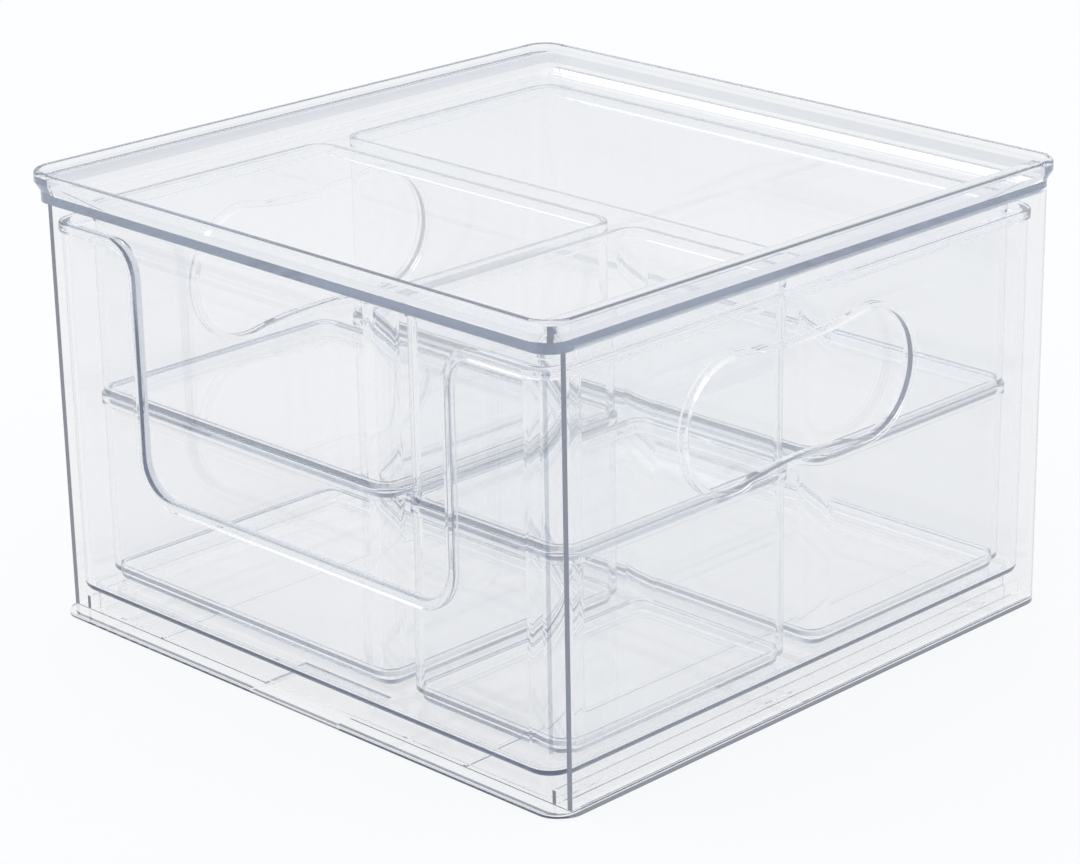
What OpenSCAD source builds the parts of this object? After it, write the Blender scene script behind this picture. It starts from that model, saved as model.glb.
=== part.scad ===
// Stackable drawer box: a clear casing, one pull-out drawer and six loose bins in two layers.
// The origin is at the middle of the underside, +Z is up, and the drawer opens towards -Y.

/* [Casing] */
// Width across the outer faces of the side walls
casing_w = 370; // [320:1:450]
// Depth of the base from its front edge to its back edge
casing_d = 368; // [320:1:450]
// Height of the side and back walls
wall_h = 224.3; // [190:0.1:300]
// Thickness of the side and back walls
wall_t = 3.2; // [2.6:0.1:4]
// Outer radius of the upright corners
casing_r = 12; // [9:0.5:18]
// How far the base and the top run out in front of the side walls
front_step = 10; // [8:0.5:16]

/* [Base] */
// Thickness of the base plate
base_t = 2.4; // [2.2:0.1:4]
// Height of the foot under the edge of the base plate
foot_h = 1.4; // [1:0.1:3]
// Width of that foot
foot_w = 8; // [6:0.5:12]
// How far the foot is set back from the front edge
foot_setback = 4; // [0:0.5:6]
// Width of the finger recess in the middle of the front edge
recess_w = 64; // [40:1:120]
// Length of the finger recess from the front edge
recess_l = 39; // [20:1:60]
// Depth of the finger recess
recess_depth = 1.4; // [0.6:0.1:1.6]
// Drop of the front strip below the base inside the casing
strip_drop = 0.4; // [0.2:0.1:0.6]
// Distance between the two slide ribs that carry the drawer
rib_spacing = 226; // [160:1:260]
// Width of a slide rib
rib_w = 2; // [1.5:0.1:4]
// Height of a slide rib
rib_h = 0.8; // [0.6:0.1:1.2]

/* [Guide rails] */
// Thickness of a guide rail
rail_t = 2.3; // [1.8:0.1:3]
// Height of a guide rail above the base
rail_h = 7; // [5:0.5:10]
// Clearance between a rail and the drawer's foot
rail_gap = 1.5; // [0.8:0.1:2]

/* [Top] */
// How far the rim stands out past the walls
rim_out = 3; // [2:0.5:4]
// Height of the band under the rim that is flush with the walls
skirt_h = 5.5; // [5:0.5:8]
// Height of the rim above that band
rim_h = 11; // [10:0.5:16]
// Height over which the rim flares out above the band
rim_flare_h = 5; // [3:0.5:6]
// Thickness of the stacking lip at its foot
lip_t = 2.7; // [2.4:0.1:3.4]
// Radius of the lip's outer top edge
lip_edge_r = 2.2; // [1:0.1:2.2]
// Height of the stacking lip above the ledge
lip_h = 3; // [2.5:0.5:5]
// Width of the ledge beside the lip, at the left and right
ledge_side = 11.3; // [9:0.1:14]
// Width of the ledge behind the lip at the front
ledge_front = 4.3; // [4:0.1:8]
// Width of the ledge before the lip at the back
ledge_back = 3.3; // [3:0.1:8]
// Thickness of the sunk top panel
panel_t = 4; // [3:0.1:6]
// Corner radius of the sunk panel
panel_r = 6; // [4:0.5:10]

/* [Drawer] */
// Clearance from the casing's inner face to the drawer's wall, each side
drawer_side_gap = 4.8; // [4:0.1:7]
// Clearance behind the drawer
drawer_back_gap = 2.3; // [2:0.1:5]
// Distance from the base's front edge to the drawer's front wall
drawer_front_inset = 4.5; // [4:0.1:8]
// Headroom between the drawer's rim and the skirt
drawer_head_gap = 10; // [8:0.5:20]
// Thickness of the drawer's walls and floor
drawer_t = 3; // [2.4:0.1:3.4]
// Outer radius of the drawer's upright corners
drawer_r = 14; // [13:0.5:20]
// Radius of the bend between the drawer's floor and walls
drawer_bend_r = 4; // [3.5:0.5:5]
// Height of the drawer's floor above the slide ribs
drawer_foot_h = 12.6; // [10:0.1:16]
// Thickness of the drawer's foot skirt
drawer_foot_t = 2.5; // [2:0.1:3]
// Height of the rim bead and width of the scoop's lip
bead_h = 5.3; // [4:0.1:7]
// How far beads and lips stand out of the drawer's walls
bead_out = 1.5; // [1:0.1:2]
// How far beads and lips stand into the drawer
bead_in = 1.7; // [1:0.1:2]
// Edge radius of beads, lips and collars
bead_r = 1.2; // [0.6:0.1:1.2]

/* [Scoop and grips] */
// Width of the scoop in the drawer's front
scoop_w = 222; // [160:1:226]
// Height of the scoop's sill above the underside of the drawer's floor
scoop_sill = 69; // [50:1:90]
// Radius of the scoop's lower corners
scoop_r = 20; // [12:1:30]
// Radius with which the scoop flares into the rim
flare_r = 19; // [12:1:20]
// Radius of each round end of a grip hole
grip_r = 33.5; // [30:0.5:36]
// Distance between the centres of the two round ends
grip_spacing = 98; // [85:1:110]
// Height of the grip hole at its waist
grip_waist = 58; // [48:1:59]
// Distance of the grip's centre below the drawer's rim
grip_drop = 56.5; // [50:0.5:65]
// How far the grip's centre lies in front of the drawer's middle
grip_forward = 6; // [-10:0.5:10]
// Width of the collar round a grip hole
collar_w = 3; // [2.6:0.1:4]

/* [Bins] */
// Width of the wide front bin over its rim
bin_wide_w = 223; // [150:1:240]
// Depth of the front bins over their rims
bin_front_d = 161.9; // [120:0.1:200]
// Gap between the two front bins
bin_column_gap = 9; // [3:0.5:14]
// Gap between the front and the back bins
bin_row_gap = 13.4; // [4:0.2:20]
// Gap between the drawer's front wall and the front bins
bin_front_gap = 12; // [4:0.5:20]
// Gap between the drawer's side walls and the bins
bin_side_gap = 4; // [3:0.1:8]
// Gap between the drawer's back wall and the back bins
bin_back_gap = 5.8; // [2.6:0.1:8]
// How far the upper bins stand above the drawer's rim
bin_rise = 4.2; // [0:0.1:4.2]
// Thickness of a bin's walls and floor
bin_t = 2.5; // [2:0.1:3]
// Outer radius of a bin's upright corners
bin_r = 12; // [11:0.5:18]
// Height of the foot that nests in the bin below
bin_foot_h = 6.2; // [5:0.1:8]
// Clearance between that foot and the wall it nests in
bin_nest_gap = 0.7; // [0.4:0.1:1]
// Height of a bin's rim bead
bin_bead_h = 6; // [4:0.1:8]
// How far a bin's rim bead stands out
bin_bead_out = 1.2; // [0.8:0.1:1.4]
// Edge radius of a bin's rim and shoulder
bin_edge_r = 1; // [0.5:0.1:1]
// Radius of the bend between a bin's foot and its floor
bin_bend_r = 3; // [3:0.1:4]

/* [Joints between the mouldings] */
// Air left under a piece that rests or is seated on another
seat_gap = 0.1; // [0.05:0.05:0.3]
// Thickness of the tongues that hold walls and rails in their grooves
tongue_t = 1.2; // [0.8:0.1:1.4]
// Length of a tongue
tongue_h = 1.4; // [1:0.1:1.6]
// Clearance of a tongue in its groove, each side
tongue_gap = 0.1; // [0.05:0.05:0.2]
// Distance that the tongues stop short of the walls' front edges
tongue_setback = 6; // [3:0.5:10]

/* [Hidden] */
$fn = 96;
over = 1;

// Levels from the underside upwards
base_top = foot_h + base_t;
wall_bottom = base_top + seat_gap;
wall_top = wall_bottom + wall_h;
skirt_bottom = wall_top + seat_gap;
rim_bottom = skirt_bottom + skirt_h;
rim_top = rim_bottom + rim_h;
ledge_z = rim_top - lip_h;
panel_top = skirt_bottom + panel_t;

// Casing in plan
back_y = casing_d / 2;
front_y = -casing_d / 2;
wall_front_y = front_y + front_step;
inner_w = casing_w - 2 * wall_t;
rim_w = casing_w + 2 * rim_out;
rim_d = casing_d + 2 * rim_out;
rim_r = casing_r + rim_out;
lip_chamfer = 0.4;
lip_round = min(lip_edge_r, lip_t - lip_chamfer);
ledge_seam = 1.5;

// Drawer in plan and height
drawer_w = inner_w - 2 * drawer_side_gap;
drawer_front = front_y + drawer_front_inset;
drawer_back = back_y - wall_t - drawer_back_gap;
drawer_d = drawer_back - drawer_front;
drawer_y = (drawer_back + drawer_front) / 2;
drawer_bottom = base_top + rib_h + seat_gap;
floor_bottom = drawer_bottom + drawer_foot_h;
floor_top = floor_bottom + drawer_t;
drawer_rim = skirt_bottom - drawer_head_gap;
drawer_foot_inset = 6.5;
floor_stub = 2;

// Guide rails stand just outside the drawer's foot
rail_inner_x = drawer_w / 2 - drawer_foot_inset + rail_gap;
rail_end_gap = 5;

// Bins: the back bins fill the width and the depth that the front bins and the gaps leave
bin_back_w = drawer_w - 2 * drawer_t - 2 * bin_side_gap;
bin_narrow_w = bin_back_w - bin_wide_w - bin_column_gap;
bin_back_d = drawer_d - 2 * drawer_t - bin_front_gap - bin_front_d - bin_row_gap - bin_back_gap;
bin_front_y = drawer_front + drawer_t + bin_front_gap + bin_front_d / 2;
bin_back_y = drawer_back - drawer_t - bin_back_gap - bin_back_d / 2;
bin_wide_x = -bin_back_w / 2 + bin_wide_w / 2;
bin_narrow_x = bin_back_w / 2 - bin_narrow_w / 2;
bin_h = (drawer_rim + bin_rise - floor_top - bin_foot_h) / 2 - seat_gap;
bin_pitch = bin_h + seat_gap;
bin_foot_inset = bin_t + bin_nest_gap;
bin_stub = 1.5;

clear_plastic = [0.88, 0.91, 0.95, 0.4];

// ---- Shapes in the plane ----

module rounded_plate(w, d, r) {
    square([w - 2 * r, d], center = true);
    square([w, d - 2 * r], center = true);
    for (sx = [-1, 1], sy = [-1, 1])
        translate([sx * (w / 2 - r), sy * (d / 2 - r)]) circle(r);
}

module plate_ring(w, d, r, t) {
    difference() {
        rounded_plate(w, d, r);
        rounded_plate(w - 2 * t, d - 2 * t, r - t);
    }
}

// A plate from y0 to y1 with only its two back corners rounded
module back_rounded(w, y0, y1, r) {
    translate([-w / 2, y0]) square([w, y1 - r - y0]);
    translate([-w / 2 + r, y0]) square([w - 2 * r, y1 - y0]);
    for (sx = [-1, 1])
        translate([sx * (w / 2 - r), y1 - r]) circle(r);
}

// The U of the side and back walls, drawn "inset" inside their outer faces and "t" thick
module wall_u(y0, inset, t) {
    difference() {
        back_rounded(casing_w - 2 * inset, y0, back_y - inset, casing_r - inset);
        back_rounded(casing_w - 2 * (inset + t), y0 - over, back_y - inset - t, casing_r - inset - t);
    }
}

// A bar from x0 to x1 and y0 to y1 with round edges
module round_bar(x0, x1, y0, y1, r) {
    translate([(x0 + x1) / 2, (y0 + y1) / 2]) rounded_plate(x1 - x0, y1 - y0, r);
}

// Quarter bend of a sheet, from a floor at the bottom to a wall at the right
module bend(r, t) {
    intersection() {
        translate([-r, r]) difference() {
            circle(r);
            circle(r - t);
        }
        translate([-r, 0]) square(r);
    }
}

// ---- Carrying a profile along an outline ----

// All round a rounded rectangle: profile x is the distance outside it, profile y is height
module swept_ring(w, d, r) {
    for (turn = [0:3]) {
        across = turn % 2 == 0 ? w : d;
        along = turn % 2 == 0 ? d : w;
        rotate([0, 0, 90 * turn]) {
            translate([across / 2, 0, 0]) swept_bar(along - 2 * r) children();
            translate([across / 2 - r, along / 2 - r, 0]) swept_arc(r, 0, 90) children();
        }
    }
}

// Straight along y
module swept_bar(length) {
    rotate([90, 0, 0]) linear_extrude(height = length, center = true) children();
}

// Round an arc with its centre on the open side
module swept_arc(r, start, sweep) {
    rotate([0, 0, start]) rotate_extrude(angle = sweep) translate([r, 0]) children();
}

// Round an arc with its centre in the sheet
module swept_arc_inside(r, start, sweep) {
    rotate([0, 0, start]) rotate_extrude(angle = sweep) translate([r, 0]) mirror([1, 0]) children();
}

// ---- Casing ----

module casing_base() color(clear_plastic) {
    difference() {
        union() {
            translate([0, 0, foot_h]) linear_extrude(height = base_t)
                rounded_plate(casing_w, casing_d, casing_r);
            linear_extrude(height = foot_h + base_t / 2) translate([0, foot_setback / 2])
                plate_ring(casing_w, casing_d - foot_setback, casing_r, foot_w);
            for (sx = [-1, 1])
                translate([sx * rib_spacing / 2, 0, base_top]) slide_rib();
        }
        front_strip_step();
        finger_recess();
        translate([0, 0, base_top - tongue_h - tongue_gap]) linear_extrude(height = tongue_h + over)
            wall_groove();
        for (sx = [-1, 1])
            translate([sx * (rail_inner_x + rail_t / 2), 0, base_top - tongue_h - tongue_gap])
                rail_tongue(tongue_t + 2 * tongue_gap, tongue_gap, tongue_h + over);
    }
}

// A low flat rib that the drawer slides on
module slide_rib() {
    length = casing_d - front_step - wall_t - rail_end_gap;
    translate([-rib_w / 2, wall_front_y, -base_t / 2]) cube([rib_w, length, rib_h + base_t / 2]);
}

module front_strip_step() {
    translate([-casing_w / 2 - over, front_y - over, base_top - strip_drop])
        cube([casing_w + 2 * over, front_step + over, strip_drop + over]);
}

module finger_recess() {
    translate([-recess_w / 2, front_y - over, base_top - recess_depth])
        cube([recess_w, recess_l + over, recess_depth + over]);
}

module wall_tongue() {
    wall_u(wall_front_y + tongue_setback, (wall_t - tongue_t) / 2, tongue_t);
}

module wall_groove() {
    wall_u(wall_front_y + tongue_setback - tongue_gap, (wall_t - tongue_t) / 2 - tongue_gap,
        tongue_t + 2 * tongue_gap);
}

module casing_shell() color(clear_plastic) {
    translate([0, 0, wall_bottom]) linear_extrude(height = wall_h)
        wall_u(wall_front_y, 0, wall_t);
    translate([0, 0, wall_bottom - tongue_h]) linear_extrude(height = wall_h + 2 * tongue_h)
        wall_tongue();
}

module casing_top() color(clear_plastic) {
    difference() {
        union() {
            swept_ring(rim_w, rim_d, rim_r) rim_profile();
            translate([0, 0, ledge_z - ledge_seam]) linear_extrude(height = ledge_seam)
                rounded_plate(rim_w - lip_t, rim_d - lip_t, rim_r - lip_t / 2);
            translate([0, 0, skirt_bottom])
                linear_extrude(height = ledge_z - ledge_seam / 2 - skirt_bottom)
                rounded_plate(casing_w - wall_t, casing_d - wall_t, casing_r - wall_t / 2);
        }
        translate([0, 0, panel_top]) linear_extrude(height = rim_top - panel_top) top_opening();
        translate([0, 0, skirt_bottom - over]) linear_extrude(height = tongue_h + tongue_gap + over)
            wall_groove();
    }
}

// Section of skirt, rim wall and stacking lip; x is measured from the rim's outer face
module rim_profile() {
    polygon([
        [-rim_out - wall_t, skirt_bottom],
        [-rim_out, skirt_bottom],
        [-rim_out, rim_bottom],
        [0, rim_bottom + rim_flare_h],
        [0, rim_top - lip_round],
        [-lip_round, rim_top],
        [-lip_t + lip_chamfer, rim_top],
        [-lip_t, rim_top - lip_chamfer],
        [-lip_t, ledge_z - ledge_seam / 2],
        [-rim_out - wall_t, ledge_z - ledge_seam / 2]
    ]);
    intersection() {
        translate([-lip_round, rim_top - lip_round]) circle(lip_round);
        translate([-lip_round, rim_top - lip_round]) square(lip_round);
    }
}

// The sunk opening inside the ledge
module top_opening() {
    x = rim_w / 2 - lip_t - ledge_side;
    y0 = -rim_d / 2 + lip_t + ledge_front;
    y1 = rim_d / 2 - lip_t - ledge_back;
    translate([0, (y0 + y1) / 2]) rounded_plate(2 * x, y1 - y0, panel_r);
}

// ---- Guide rails ----

// Plan of a tongue under a rail, with "spare" at its ends
module rail_tongue(t, spare, h) {
    y0 = wall_front_y + tongue_setback - spare;
    y1 = back_y - wall_t - rail_end_gap - tongue_setback + spare;
    translate([-t / 2, y0, 0]) cube([t, y1 - y0, h]);
}

module guide_rail() {
    translate([-rail_t / 2, wall_front_y, wall_bottom])
        cube([rail_t, back_y - wall_t - rail_end_gap - wall_front_y, rail_h]);
    translate([0, 0, wall_bottom - tongue_h]) rail_tongue(tongue_t, 0, tongue_h + over);
}

module guide_rail_left() color(clear_plastic) {
    translate([-rail_inner_x - rail_t / 2, 0, 0]) guide_rail();
}

module guide_rail_right() color(clear_plastic) {
    translate([rail_inner_x + rail_t / 2, 0, 0]) guide_rail();
}

// ---- Drawer ----

module drawer_tray() color(clear_plastic) {
    lip_depth = drawer_t + bead_in + bead_out;
    difference() {
        union() {
            translate([0, drawer_y, 0]) tray_body();
            for (side = [-1, 1])
                side_wall_frame(side) translate([0, 0, -drawer_t - bead_in])
                    linear_extrude(height = lip_depth) grip_shape(collar_w);
        }
        front_wall_frame() translate([0, 0, -drawer_t - bead_in - over])
            linear_extrude(height = lip_depth + 2 * over) scoop_shape();
        for (side = [-1, 1])
            side_wall_frame(side) translate([0, 0, -drawer_t - bead_in - over])
                linear_extrude(height = lip_depth + 2 * over) grip_shape(0);
    }
    front_wall_frame() scoop_lip();
}

// Walls, floor, rim bead and foot skirt, before the openings are cut
module tray_body() {
    swept_ring(drawer_w, drawer_d, drawer_r) {
        translate([-drawer_t, floor_bottom + drawer_bend_r])
            square([drawer_t, drawer_rim - floor_bottom - drawer_bend_r - bead_h / 2]);
        translate([0, floor_bottom]) bend(drawer_bend_r, drawer_t);
        translate([-drawer_bend_r - floor_stub, floor_bottom]) square([floor_stub, drawer_t]);
        round_bar(-drawer_t - bead_in, bead_out, drawer_rim - bead_h, drawer_rim, bead_r);
    }
    inset = drawer_bend_r + floor_stub / 2;
    translate([0, 0, floor_bottom]) linear_extrude(height = drawer_t)
        rounded_plate(drawer_w - 2 * inset, drawer_d - 2 * inset, drawer_r - inset);
    translate([0, 0, drawer_bottom]) linear_extrude(height = drawer_foot_h + drawer_t / 2)
        plate_ring(drawer_w - 2 * drawer_foot_inset, drawer_d - 2 * drawer_foot_inset,
            drawer_r - drawer_foot_inset, drawer_foot_t);
}

// Moves a drawing onto the front wall: x across, y up from the sill, z outwards
module front_wall_frame() {
    translate([0, drawer_front, floor_bottom + scoop_sill]) rotate([90, 0, 0]) children();
}

// Moves a drawing onto a side wall: x towards the back, y up from the grip's centre, z outwards
module side_wall_frame(side) {
    translate([side * drawer_w / 2, drawer_y - grip_forward, drawer_rim - grip_drop])
        mirror([side < 0 ? 1 : 0, 0, 0]) rotate([90, 0, 90]) children();
}

// Section of a lip: x runs from the free edge into the sheet, y outwards
module lip_profile(w) {
    round_bar(0, w, -drawer_t - bead_in, bead_out, bead_r);
}

module scoop_shape() {
    half = scoop_w / 2;
    rise = drawer_rim - floor_bottom - scoop_sill;
    translate([-half, scoop_r]) square([scoop_w, rise - scoop_r + over]);
    translate([-half + scoop_r, 0]) square([scoop_w - 2 * scoop_r, 2 * scoop_r]);
    for (side = [-1, 1]) {
        translate([side * (half - scoop_r), scoop_r]) circle(scoop_r);
        difference() {
            translate([side * (half + flare_r / 2), rise - (flare_r - over) / 2])
                square([flare_r, flare_r + over], center = true);
            translate([side * (half + flare_r), rise - flare_r]) circle(flare_r);
        }
    }
}

module scoop_lip() {
    half = scoop_w / 2;
    rise = drawer_rim - floor_bottom - scoop_sill;
    upright = rise - scoop_r - flare_r;
    rotate([0, 0, -90]) swept_bar(scoop_w - 2 * scoop_r) lip_profile(bead_h);
    for (side = [-1, 1]) {
        translate([side * half, scoop_r + upright / 2, 0]) rotate([0, 0, side < 0 ? 180 : 0])
            swept_bar(upright) lip_profile(bead_h);
        translate([side * (half - scoop_r), scoop_r, 0])
            swept_arc(scoop_r, side < 0 ? 180 : 270, 90) lip_profile(bead_h);
        translate([side * (half + flare_r), rise - flare_r, 0])
            swept_arc_inside(flare_r, side < 0 ? 0 : 90, 90) lip_profile(bead_h);
    }
}

// A grip hole is two round ends joined by a waist, whose arcs are tangent to the ends
grip_half = grip_spacing / 2;
waist_half = grip_waist / 2;
waist_r = (grip_half * grip_half + waist_half * waist_half - grip_r * grip_r) / (2 * (grip_r - waist_half));
waist_centre = waist_half + waist_r;
waist_x = grip_half * waist_r / (grip_r + waist_r);
waist_facets = 480;

// The outline of a grip hole, "grow" wider all round
module grip_shape(grow) {
    for (side = [-1, 1])
        translate([side * grip_half, 0]) circle(grip_r + grow);
    difference() {
        square([2 * waist_x, 2 * grip_r], center = true);
        for (side = [-1, 1])
            translate([0, side * waist_centre]) circle(waist_r - grow, $fn = waist_facets);
    }
}

// ---- Bins ----

// A bin with its foot's underside at z = 0; "w" and "d" are measured over the rim bead
module bin(w, d) {
    body_w = w - 2 * bin_bead_out;
    body_d = d - 2 * bin_bead_out;
    top = bin_foot_h + bin_h;
    swept_ring(body_w, body_d, bin_r) {
        round_bar(-bin_t, bin_bead_out, top - bin_bead_h, top, bin_edge_r);
        translate([-bin_t, bin_foot_h + bin_t / 2])
            square([bin_t, bin_h - bin_t / 2 - bin_bead_h / 2]);
        round_bar(-bin_foot_inset - bin_t, 0, bin_foot_h, bin_foot_h + bin_t, bin_edge_r);
        translate([-bin_foot_inset - bin_t, bin_bend_r])
            square([bin_t, bin_foot_h + bin_t / 2 - bin_bend_r]);
        translate([-bin_foot_inset, 0]) bend(bin_bend_r, bin_t);
        translate([-bin_foot_inset - bin_bend_r - bin_stub, 0]) square([bin_stub, bin_t]);
    }
    inset = bin_foot_inset + bin_bend_r + bin_stub / 2;
    linear_extrude(height = bin_t)
        rounded_plate(body_w - 2 * inset, body_d - 2 * inset, bin_r - inset);
}

module placed_bin(x, y, layer, w, d) {
    color(clear_plastic) translate([x, y, floor_top + seat_gap + layer * bin_pitch]) bin(w, d);
}

module bin_wide_lower() placed_bin(bin_wide_x, bin_front_y, 0, bin_wide_w, bin_front_d);
module bin_wide_upper() placed_bin(bin_wide_x, bin_front_y, 1, bin_wide_w, bin_front_d);
module bin_narrow_lower() placed_bin(bin_narrow_x, bin_front_y, 0, bin_narrow_w, bin_front_d);
module bin_narrow_upper() placed_bin(bin_narrow_x, bin_front_y, 1, bin_narrow_w, bin_front_d);
module bin_back_lower() placed_bin(0, bin_back_y, 0, bin_back_w, bin_back_d);
module bin_back_upper() placed_bin(0, bin_back_y, 1, bin_back_w, bin_back_d);

casing_base();
casing_shell();
casing_top();
guide_rail_left();
guide_rail_right();
drawer_tray();
bin_wide_lower();
bin_wide_upper();
bin_narrow_lower();
bin_narrow_upper();
bin_back_lower();
bin_back_upper();
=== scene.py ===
import math

import bpy
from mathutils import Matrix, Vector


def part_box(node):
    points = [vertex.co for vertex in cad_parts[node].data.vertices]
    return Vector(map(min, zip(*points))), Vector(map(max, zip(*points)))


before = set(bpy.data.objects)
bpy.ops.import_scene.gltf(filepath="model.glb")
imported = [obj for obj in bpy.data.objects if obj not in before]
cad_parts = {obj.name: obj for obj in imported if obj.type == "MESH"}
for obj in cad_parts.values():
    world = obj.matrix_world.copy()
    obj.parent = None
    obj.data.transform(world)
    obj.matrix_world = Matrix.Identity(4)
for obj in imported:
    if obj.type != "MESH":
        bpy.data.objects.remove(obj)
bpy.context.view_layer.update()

scene = bpy.context.scene
MM = 0.001

# ---- Camera: solved from the box's square corners, for a frame of 1080 by 864 ----
CAMERA_PLACE = (1.192426, -1.185396, 0.712648)
CAMERA_AZIMUTH = 42.4326
CAMERA_ELEVATION = 20.7177
CAMERA_LENS = 113.948
CAMERA_SHIFT = (-0.15223, 0.03534)
SENSOR_WIDTH = 36


def add_camera():
    camera = bpy.data.objects.new("camera", bpy.data.cameras.new("camera"))
    scene.collection.objects.link(camera)
    camera.location = CAMERA_PLACE
    camera.rotation_euler = (math.radians(90 - CAMERA_ELEVATION), 0, math.radians(CAMERA_AZIMUTH))
    camera.data.sensor_width = SENSOR_WIDTH
    camera.data.lens = CAMERA_LENS
    camera.data.shift_x, camera.data.shift_y = CAMERA_SHIFT
    scene.camera = camera


# ---- Node trees ----


def socket(sockets, name):
    """The socket of that name or number; a Mix node holds several of one name, of which one is in use."""
    if isinstance(name, int):
        return sockets[name]
    return [one for one in sockets if one.name == name and one.enabled][0]


class Tree:
    """A node tree that is built with short calls."""

    def __init__(self, owner):
        owner.use_nodes = True
        self.nodes = owner.node_tree.nodes
        self.links = owner.node_tree.links
        self.nodes.clear()

    def add(self, kind, inputs=None, **settings):
        """A new node; inputs gives a value, or a socket to link, for each input by name or number."""
        node = self.nodes.new(kind)
        for name, value in settings.items():
            setattr(node, name, value)
        for name, value in (inputs or {}).items():
            if isinstance(value, bpy.types.NodeSocket):
                self.links.new(value, socket(node.inputs, name))
            else:
                socket(node.inputs, name).default_value = value
        return node

    def math(self, operation, *values, **settings):
        node = self.add("ShaderNodeMath", dict(enumerate(values)), operation=operation, **settings)
        return node.outputs[0]

    def vector(self, operation, first, second):
        return self.add("ShaderNodeVectorMath", {0: first, 1: second}, operation=operation).outputs

    def split(self, vector):
        return self.add("ShaderNodeSeparateXYZ", {"Vector": vector}).outputs

    def in_range(self, value, low, high):
        """1 where the value lies between low and high, and 0 elsewhere."""
        return self.math("COMPARE", value, (low + high) / 2, (high - low) / 2)


# ---- Clear plastic ----
REFRACTION = 1.49
# A metre of the plastic lets exp(-(1 - colour) * density) of the light through. The painted glow is emission
# in the plastic's volume, painted light for the light picked up on a long way inside a sheet, so that such
# ways end up slate and not black.
ABSORB_COLOR = (0.20, 0.30, 0.40)
ABSORB_DENSITY = 7.5
PAINTED_GLOW_COLOR = (0.90, 0.89, 0.97)
PAINTED_GLOW_STRENGTH = 1.55
# Patches of fine haze in the gloss, and the roughness that they reach
HAZE_SCALE = 40.0
HAZE_NOISE = (0.35, 0.75)
MAIN_HAZE = 0.02
BIN_HAZE = 0.03
# An outer face points away from the middle: the range of its direction times the way there
OUTWARDS = (0.02, 2)
# The most that the direction of an upright face has up or down, and that of a cut face forward or back
UPRIGHT = 0.8
CUT_FACE = 0.75


def edge_shade_mask(tree, coords, sheet_levels, side_share):
    """1 on the outer faces behind which the eye looks into a sheet edge-on, where the painted shade goes, and
    0 elsewhere.

    sheet_levels are the heights between which a floor meets an upright outer face. On a face that looks
    sideways the mask is side_share."""
    place = tree.split(coords["Object"])
    facing = tree.split(coords["Normal"])
    from_middle = tree.vector("SUBTRACT", coords["Generated"], (0.5, 0.5, 0.5))[0]
    level_way = tree.vector("MULTIPLY", from_middle, (1, 1, 0))[0]
    outwards = tree.vector("DOT_PRODUCT", level_way, coords["Normal"])["Value"]
    outer = tree.math("MULTIPLY", tree.in_range(outwards, *OUTWARDS),
                      tree.in_range(facing["Z"], -UPRIGHT, UPRIGHT))
    mask = 0.0
    for low, high in sheet_levels:
        level = tree.math("MULTIPLY", tree.in_range(place["Z"], low, high), outer)
        mask = tree.math("MAXIMUM", mask, level)
    sideways = tree.math("ABSOLUTE", facing["X"])
    share = tree.math("SUBTRACT", 1.0, tree.math("MULTIPLY", sideways, 1.0 - side_share))
    return tree.math("MULTIPLY", mask, share)


def lip_shade_mask(tree, coords, front, back, lowest):
    """1 on the cut faces of the front wall's openings, where the painted shade goes, and 0 elsewhere.

    The wall lies between the depths front and back, and its openings are cut above the height lowest."""
    place = tree.split(coords["Object"])
    facing = tree.split(coords["Normal"])
    in_wall = tree.math("MULTIPLY", tree.in_range(place["Y"], front, back),
                        tree.math("GREATER_THAN", place["Z"], lowest))
    return tree.math("MULTIPLY", in_wall, tree.in_range(facing["Y"], -CUT_FACE, CUT_FACE))


def clear_plastic(name, haze, edge_shade, sheet_levels, side_share=1.0, lip=None):
    """Polished clear moulding with painted shade: a slate colour where the eye looks into one of its sheets
    edge-on.

    lip gives the front wall's two depths and the height over which its openings are cut. The painted shade
    goes only where light enters, so that the far side's edges stay pale."""
    material = bpy.data.materials.new(name)
    tree = Tree(material)
    coords = tree.add("ShaderNodeTexCoord").outputs
    entering = tree.math("SUBTRACT", 1.0, tree.add("ShaderNodeNewGeometry").outputs["Backfacing"])
    mask = tree.math("MULTIPLY", edge_shade_mask(tree, coords, sheet_levels, side_share), entering)
    # Painted shade: a slate colour mixed into the base colour where a sheet is seen edge-on
    painted_shade = socket(tree.add("ShaderNodeMix", {
        "Factor": mask, "A": (1, 1, 1, 1), "B": (*edge_shade, 1)}, data_type="RGBA").outputs, "Result")
    if lip:
        # Painted shade on the cut faces of the scoop's openings
        mask = tree.math("MULTIPLY", lip_shade_mask(tree, coords, *lip), entering)
        painted_shade = socket(tree.add("ShaderNodeMix", {
            "Factor": mask, "A": painted_shade, "B": (*LIP_PAINTED_SHADE, 1)}, data_type="RGBA").outputs, "Result")
    patches = tree.add("ShaderNodeTexNoise", {"Vector": coords["Object"], "Scale": HAZE_SCALE, "Detail": 0.0})
    gloss = tree.add("ShaderNodeMapRange", {
        "Value": patches.outputs["Fac"], "From Min": HAZE_NOISE[0], "From Max": HAZE_NOISE[1],
        "To Min": 0.0, "To Max": haze})
    shader = tree.add("ShaderNodeBsdfPrincipled", {
        "Base Color": painted_shade, "IOR": REFRACTION, "Transmission Weight": 1.0,
        "Roughness": gloss.outputs["Result"]})
    clear = tree.add("ShaderNodeVolumeAbsorption", {"Color": (*ABSORB_COLOR, 1), "Density": ABSORB_DENSITY})
    # Painted glow: emission inside the plastic, painted light and no lamp
    painted_glow = tree.add("ShaderNodeEmission", {"Color": (*PAINTED_GLOW_COLOR, 1), "Strength": PAINTED_GLOW_STRENGTH})
    volume = tree.add("ShaderNodeAddShader", {0: clear.outputs[0], 1: painted_glow.outputs[0]})
    tree.add("ShaderNodeOutputMaterial", {"Surface": shader.outputs[0], "Volume": volume.outputs[0]})
    return material


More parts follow.
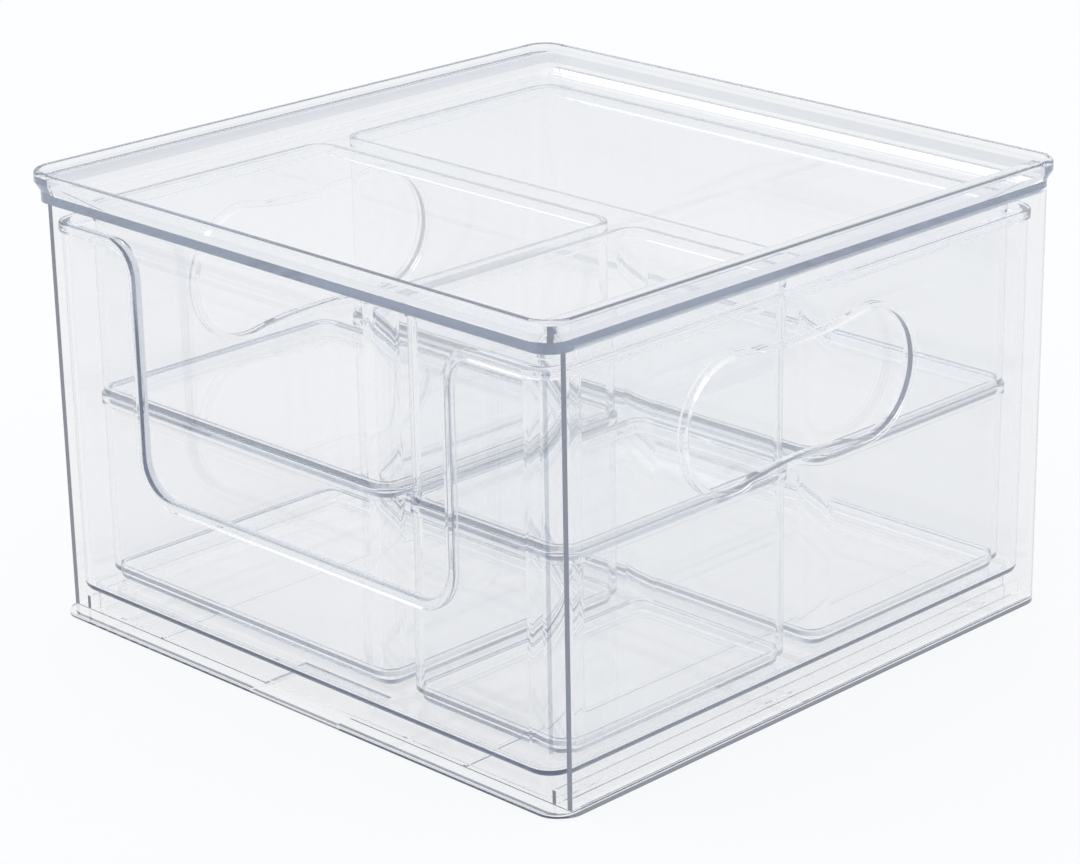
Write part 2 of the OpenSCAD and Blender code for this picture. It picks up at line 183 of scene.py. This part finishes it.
def dress(material, nodes):
    for name in nodes:
        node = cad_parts[name]
        node.data.materials.clear()
        node.data.materials.append(material)


# ---- Casing: painted shade on the edge of the base plate and its foot, in two bands with a pale line between them ----
BASE_EDGE = [(-0.1 * MM, 2.4 * MM), (3.2 * MM, 3.9 * MM)]
BASE_PAINTED_SHADE = (0.08, 0.09, 0.12)

# ---- Drawer: painted shade on its floor above the foot skirt, and on the lip of the scoop ----
DRAWER_FLOOR = (17.2 * MM, 21.3 * MM)
DRAWER_PAINTED_SHADE = (0.18, 0.21, 0.28)
LIP_START = -0.1 * MM
LIP_DEPTH = 6.4 * MM
LIP_LOWEST = 30 * MM
# Painted shade on the cut faces of the scoop's openings
LIP_PAINTED_SHADE = (0.55, 0.59, 0.65)

# ---- Bins: painted shade on the shoulder, by its height above the underside of each bin's foot ----
SHOULDER = (5.6 * MM, 9.0 * MM)
BIN_PAINTED_SHADE = (0.16, 0.18, 0.22)
BIN_SIDE_SHARE = 0.4


def dress_casing():
    plastic = clear_plastic("clear casing", MAIN_HAZE, BASE_PAINTED_SHADE, BASE_EDGE)
    dress(plastic, ["casing_base", "casing_shell", "casing_top", "guide_rail_left", "guide_rail_right"])


def dress_drawer():
    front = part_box("drawer_tray")[0][1]
    plastic = clear_plastic("clear drawer", MAIN_HAZE, DRAWER_PAINTED_SHADE, [DRAWER_FLOOR],
                            lip=(front + LIP_START, front + LIP_DEPTH, LIP_LOWEST))
    dress(plastic, ["drawer_tray"])


def dress_bins():
    for layer in ("lower", "upper"):
        names = [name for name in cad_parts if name.startswith("bin_") and name.endswith(layer)]
        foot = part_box(names[0])[0][2]
        plastic = clear_plastic("clear bins " + layer, BIN_HAZE, BIN_PAINTED_SHADE,
                                [(foot + SHOULDER[0], foot + SHOULDER[1])], side_share=BIN_SIDE_SHARE)
        dress(plastic, names)


# ---- Stage and light ----
FLOOR_SIZE = 12
FLOOR_ROUGHNESS = 0.8
# Share of the floor's look that doesn't depend on light, as the eye sees it and through the plastic
FLOOR_GLOW = 0.9
FLOOR_COLOR = (0.90, 0.92, 0.97)
WHITE = (0.98, 0.99, 1.0)
# Painted shade: the grey that the floor shows through the plastic in place of white
FLOOR_THROUGH_SHADE = (0.905, 0.912, 0.925)
# Colours of the studio by height: the sine of the way up, and the colour
STUDIO = [
    (0.0, (0.74, 0.765, 0.80)),
    (0.22, (0.82, 0.845, 0.88)),
    (0.30, (0.98, 0.98, 0.99)),
    (1.0, (1.12, 1.1, 1.09)),
]
# A large soft lamp from the front left
KEY_PLACE = (-1.6, -0.9, 1.9)
KEY_SIZE = (1.2, 1.2)
KEY_POWER = 5
KEY_TARGET = (0, 0, 0.12)
# How often light may bounce: off and through the plastic, off the matt floor, and through see-through faces
PLASTIC_BOUNCES = 64
MATT_BOUNCES = 3
SEE_THROUGH_BOUNCES = 16


def add_floor():
    """A pale floor, white to the eye and painted a little grey through the plastic as painted shade; it keeps
    part of the shadow.
    """
    bpy.ops.mesh.primitive_plane_add(size=FLOOR_SIZE)
    floor = bpy.context.object
    floor.name = "floor"
    material = bpy.data.materials.new("pale floor")
    tree = Tree(material)
    light = tree.add("ShaderNodeLightPath").outputs
    matt = tree.add("ShaderNodeBsdfPrincipled", {
        "Base Color": (*FLOOR_COLOR, 1), "Roughness": FLOOR_ROUGHNESS})
    white = tree.add("ShaderNodeEmission", {"Color": (*WHITE, 1), "Strength": 1.0})
    # Painted shade: a grey glow for rays that reach the floor through the plastic
    through_shade = tree.add("ShaderNodeEmission", {"Color": (*FLOOR_THROUGH_SHADE, 1), "Strength": 1.0})
    through = tree.math("ADD", light["Is Glossy Ray"], light["Is Transmission Ray"], use_clamp=True)
    through = tree.math("MULTIPLY", through, FLOOR_GLOW)
    direct = tree.math("MULTIPLY", light["Is Camera Ray"], FLOOR_GLOW)
    indirect_look = tree.add("ShaderNodeMixShader", {0: through, 1: matt.outputs[0], 2: through_shade.outputs[0]})
    look = tree.add("ShaderNodeMixShader", {0: direct, 1: indirect_look.outputs[0], 2: white.outputs[0]})
    tree.add("ShaderNodeOutputMaterial", {"Surface": look.outputs[0]})
    floor.data.materials.append(material)


def add_world():
    """A pale studio that is darker at the horizon; the eye sees it white."""
    world = bpy.data.worlds.new("studio")
    scene.world = world
    tree = Tree(world)
    way = tree.add("ShaderNodeTexCoord").outputs["Generated"]
    ramp = tree.add("ShaderNodeValToRGB", {"Fac": tree.split(way)["Z"]})
    stops = ramp.color_ramp.elements
    for position, _ in STUDIO[2:]:
        stops.new(position)
    for stop, (position, color) in zip(stops, STUDIO):
        stop.position = position
        stop.color = (*color, 1)
    studio = tree.add("ShaderNodeBackground", {"Color": ramp.outputs["Color"], "Strength": 1.0})
    white = tree.add("ShaderNodeBackground", {"Color": (1, 1, 1, 1), "Strength": 1.0})
    seen = tree.add("ShaderNodeLightPath").outputs["Is Camera Ray"]
    look = tree.add("ShaderNodeMixShader", {0: seen, 1: studio.outputs[0], 2: white.outputs[0]})
    tree.add("ShaderNodeOutputWorld", {"Surface": look.outputs[0]})


def add_lamp(name, place, size, power, target):
    lamp = bpy.data.objects.new(name, bpy.data.lights.new(name, "AREA"))
    scene.collection.objects.link(lamp)
    lamp.data.shape = "RECTANGLE"
    lamp.data.size, lamp.data.size_y = size
    lamp.data.energy = power
    lamp.location = place
    way = [t - p for t, p in zip(target, place)]
    flat = math.hypot(way[0], way[1])
    lamp.rotation_euler = (math.atan2(flat, -way[2]), 0, math.atan2(way[1], way[0]) - math.pi / 2)


def set_light_paths():
    """Light that is caught inside a sheet bounces dozens of times on its way through the box."""
    scene.cycles.max_bounces = PLASTIC_BOUNCES
    scene.cycles.transmission_bounces = PLASTIC_BOUNCES
    scene.cycles.glossy_bounces = PLASTIC_BOUNCES
    scene.cycles.diffuse_bounces = MATT_BOUNCES
    scene.cycles.transparent_max_bounces = SEE_THROUGH_BOUNCES
    scene.cycles.use_denoising = True


add_camera()
scene.view_settings.view_transform = "Standard"
set_light_paths()
dress_casing()
dress_drawer()
dress_bins()
add_floor()
add_world()
add_lamp("key softbox", KEY_PLACE, KEY_SIZE, KEY_POWER, KEY_TARGET)
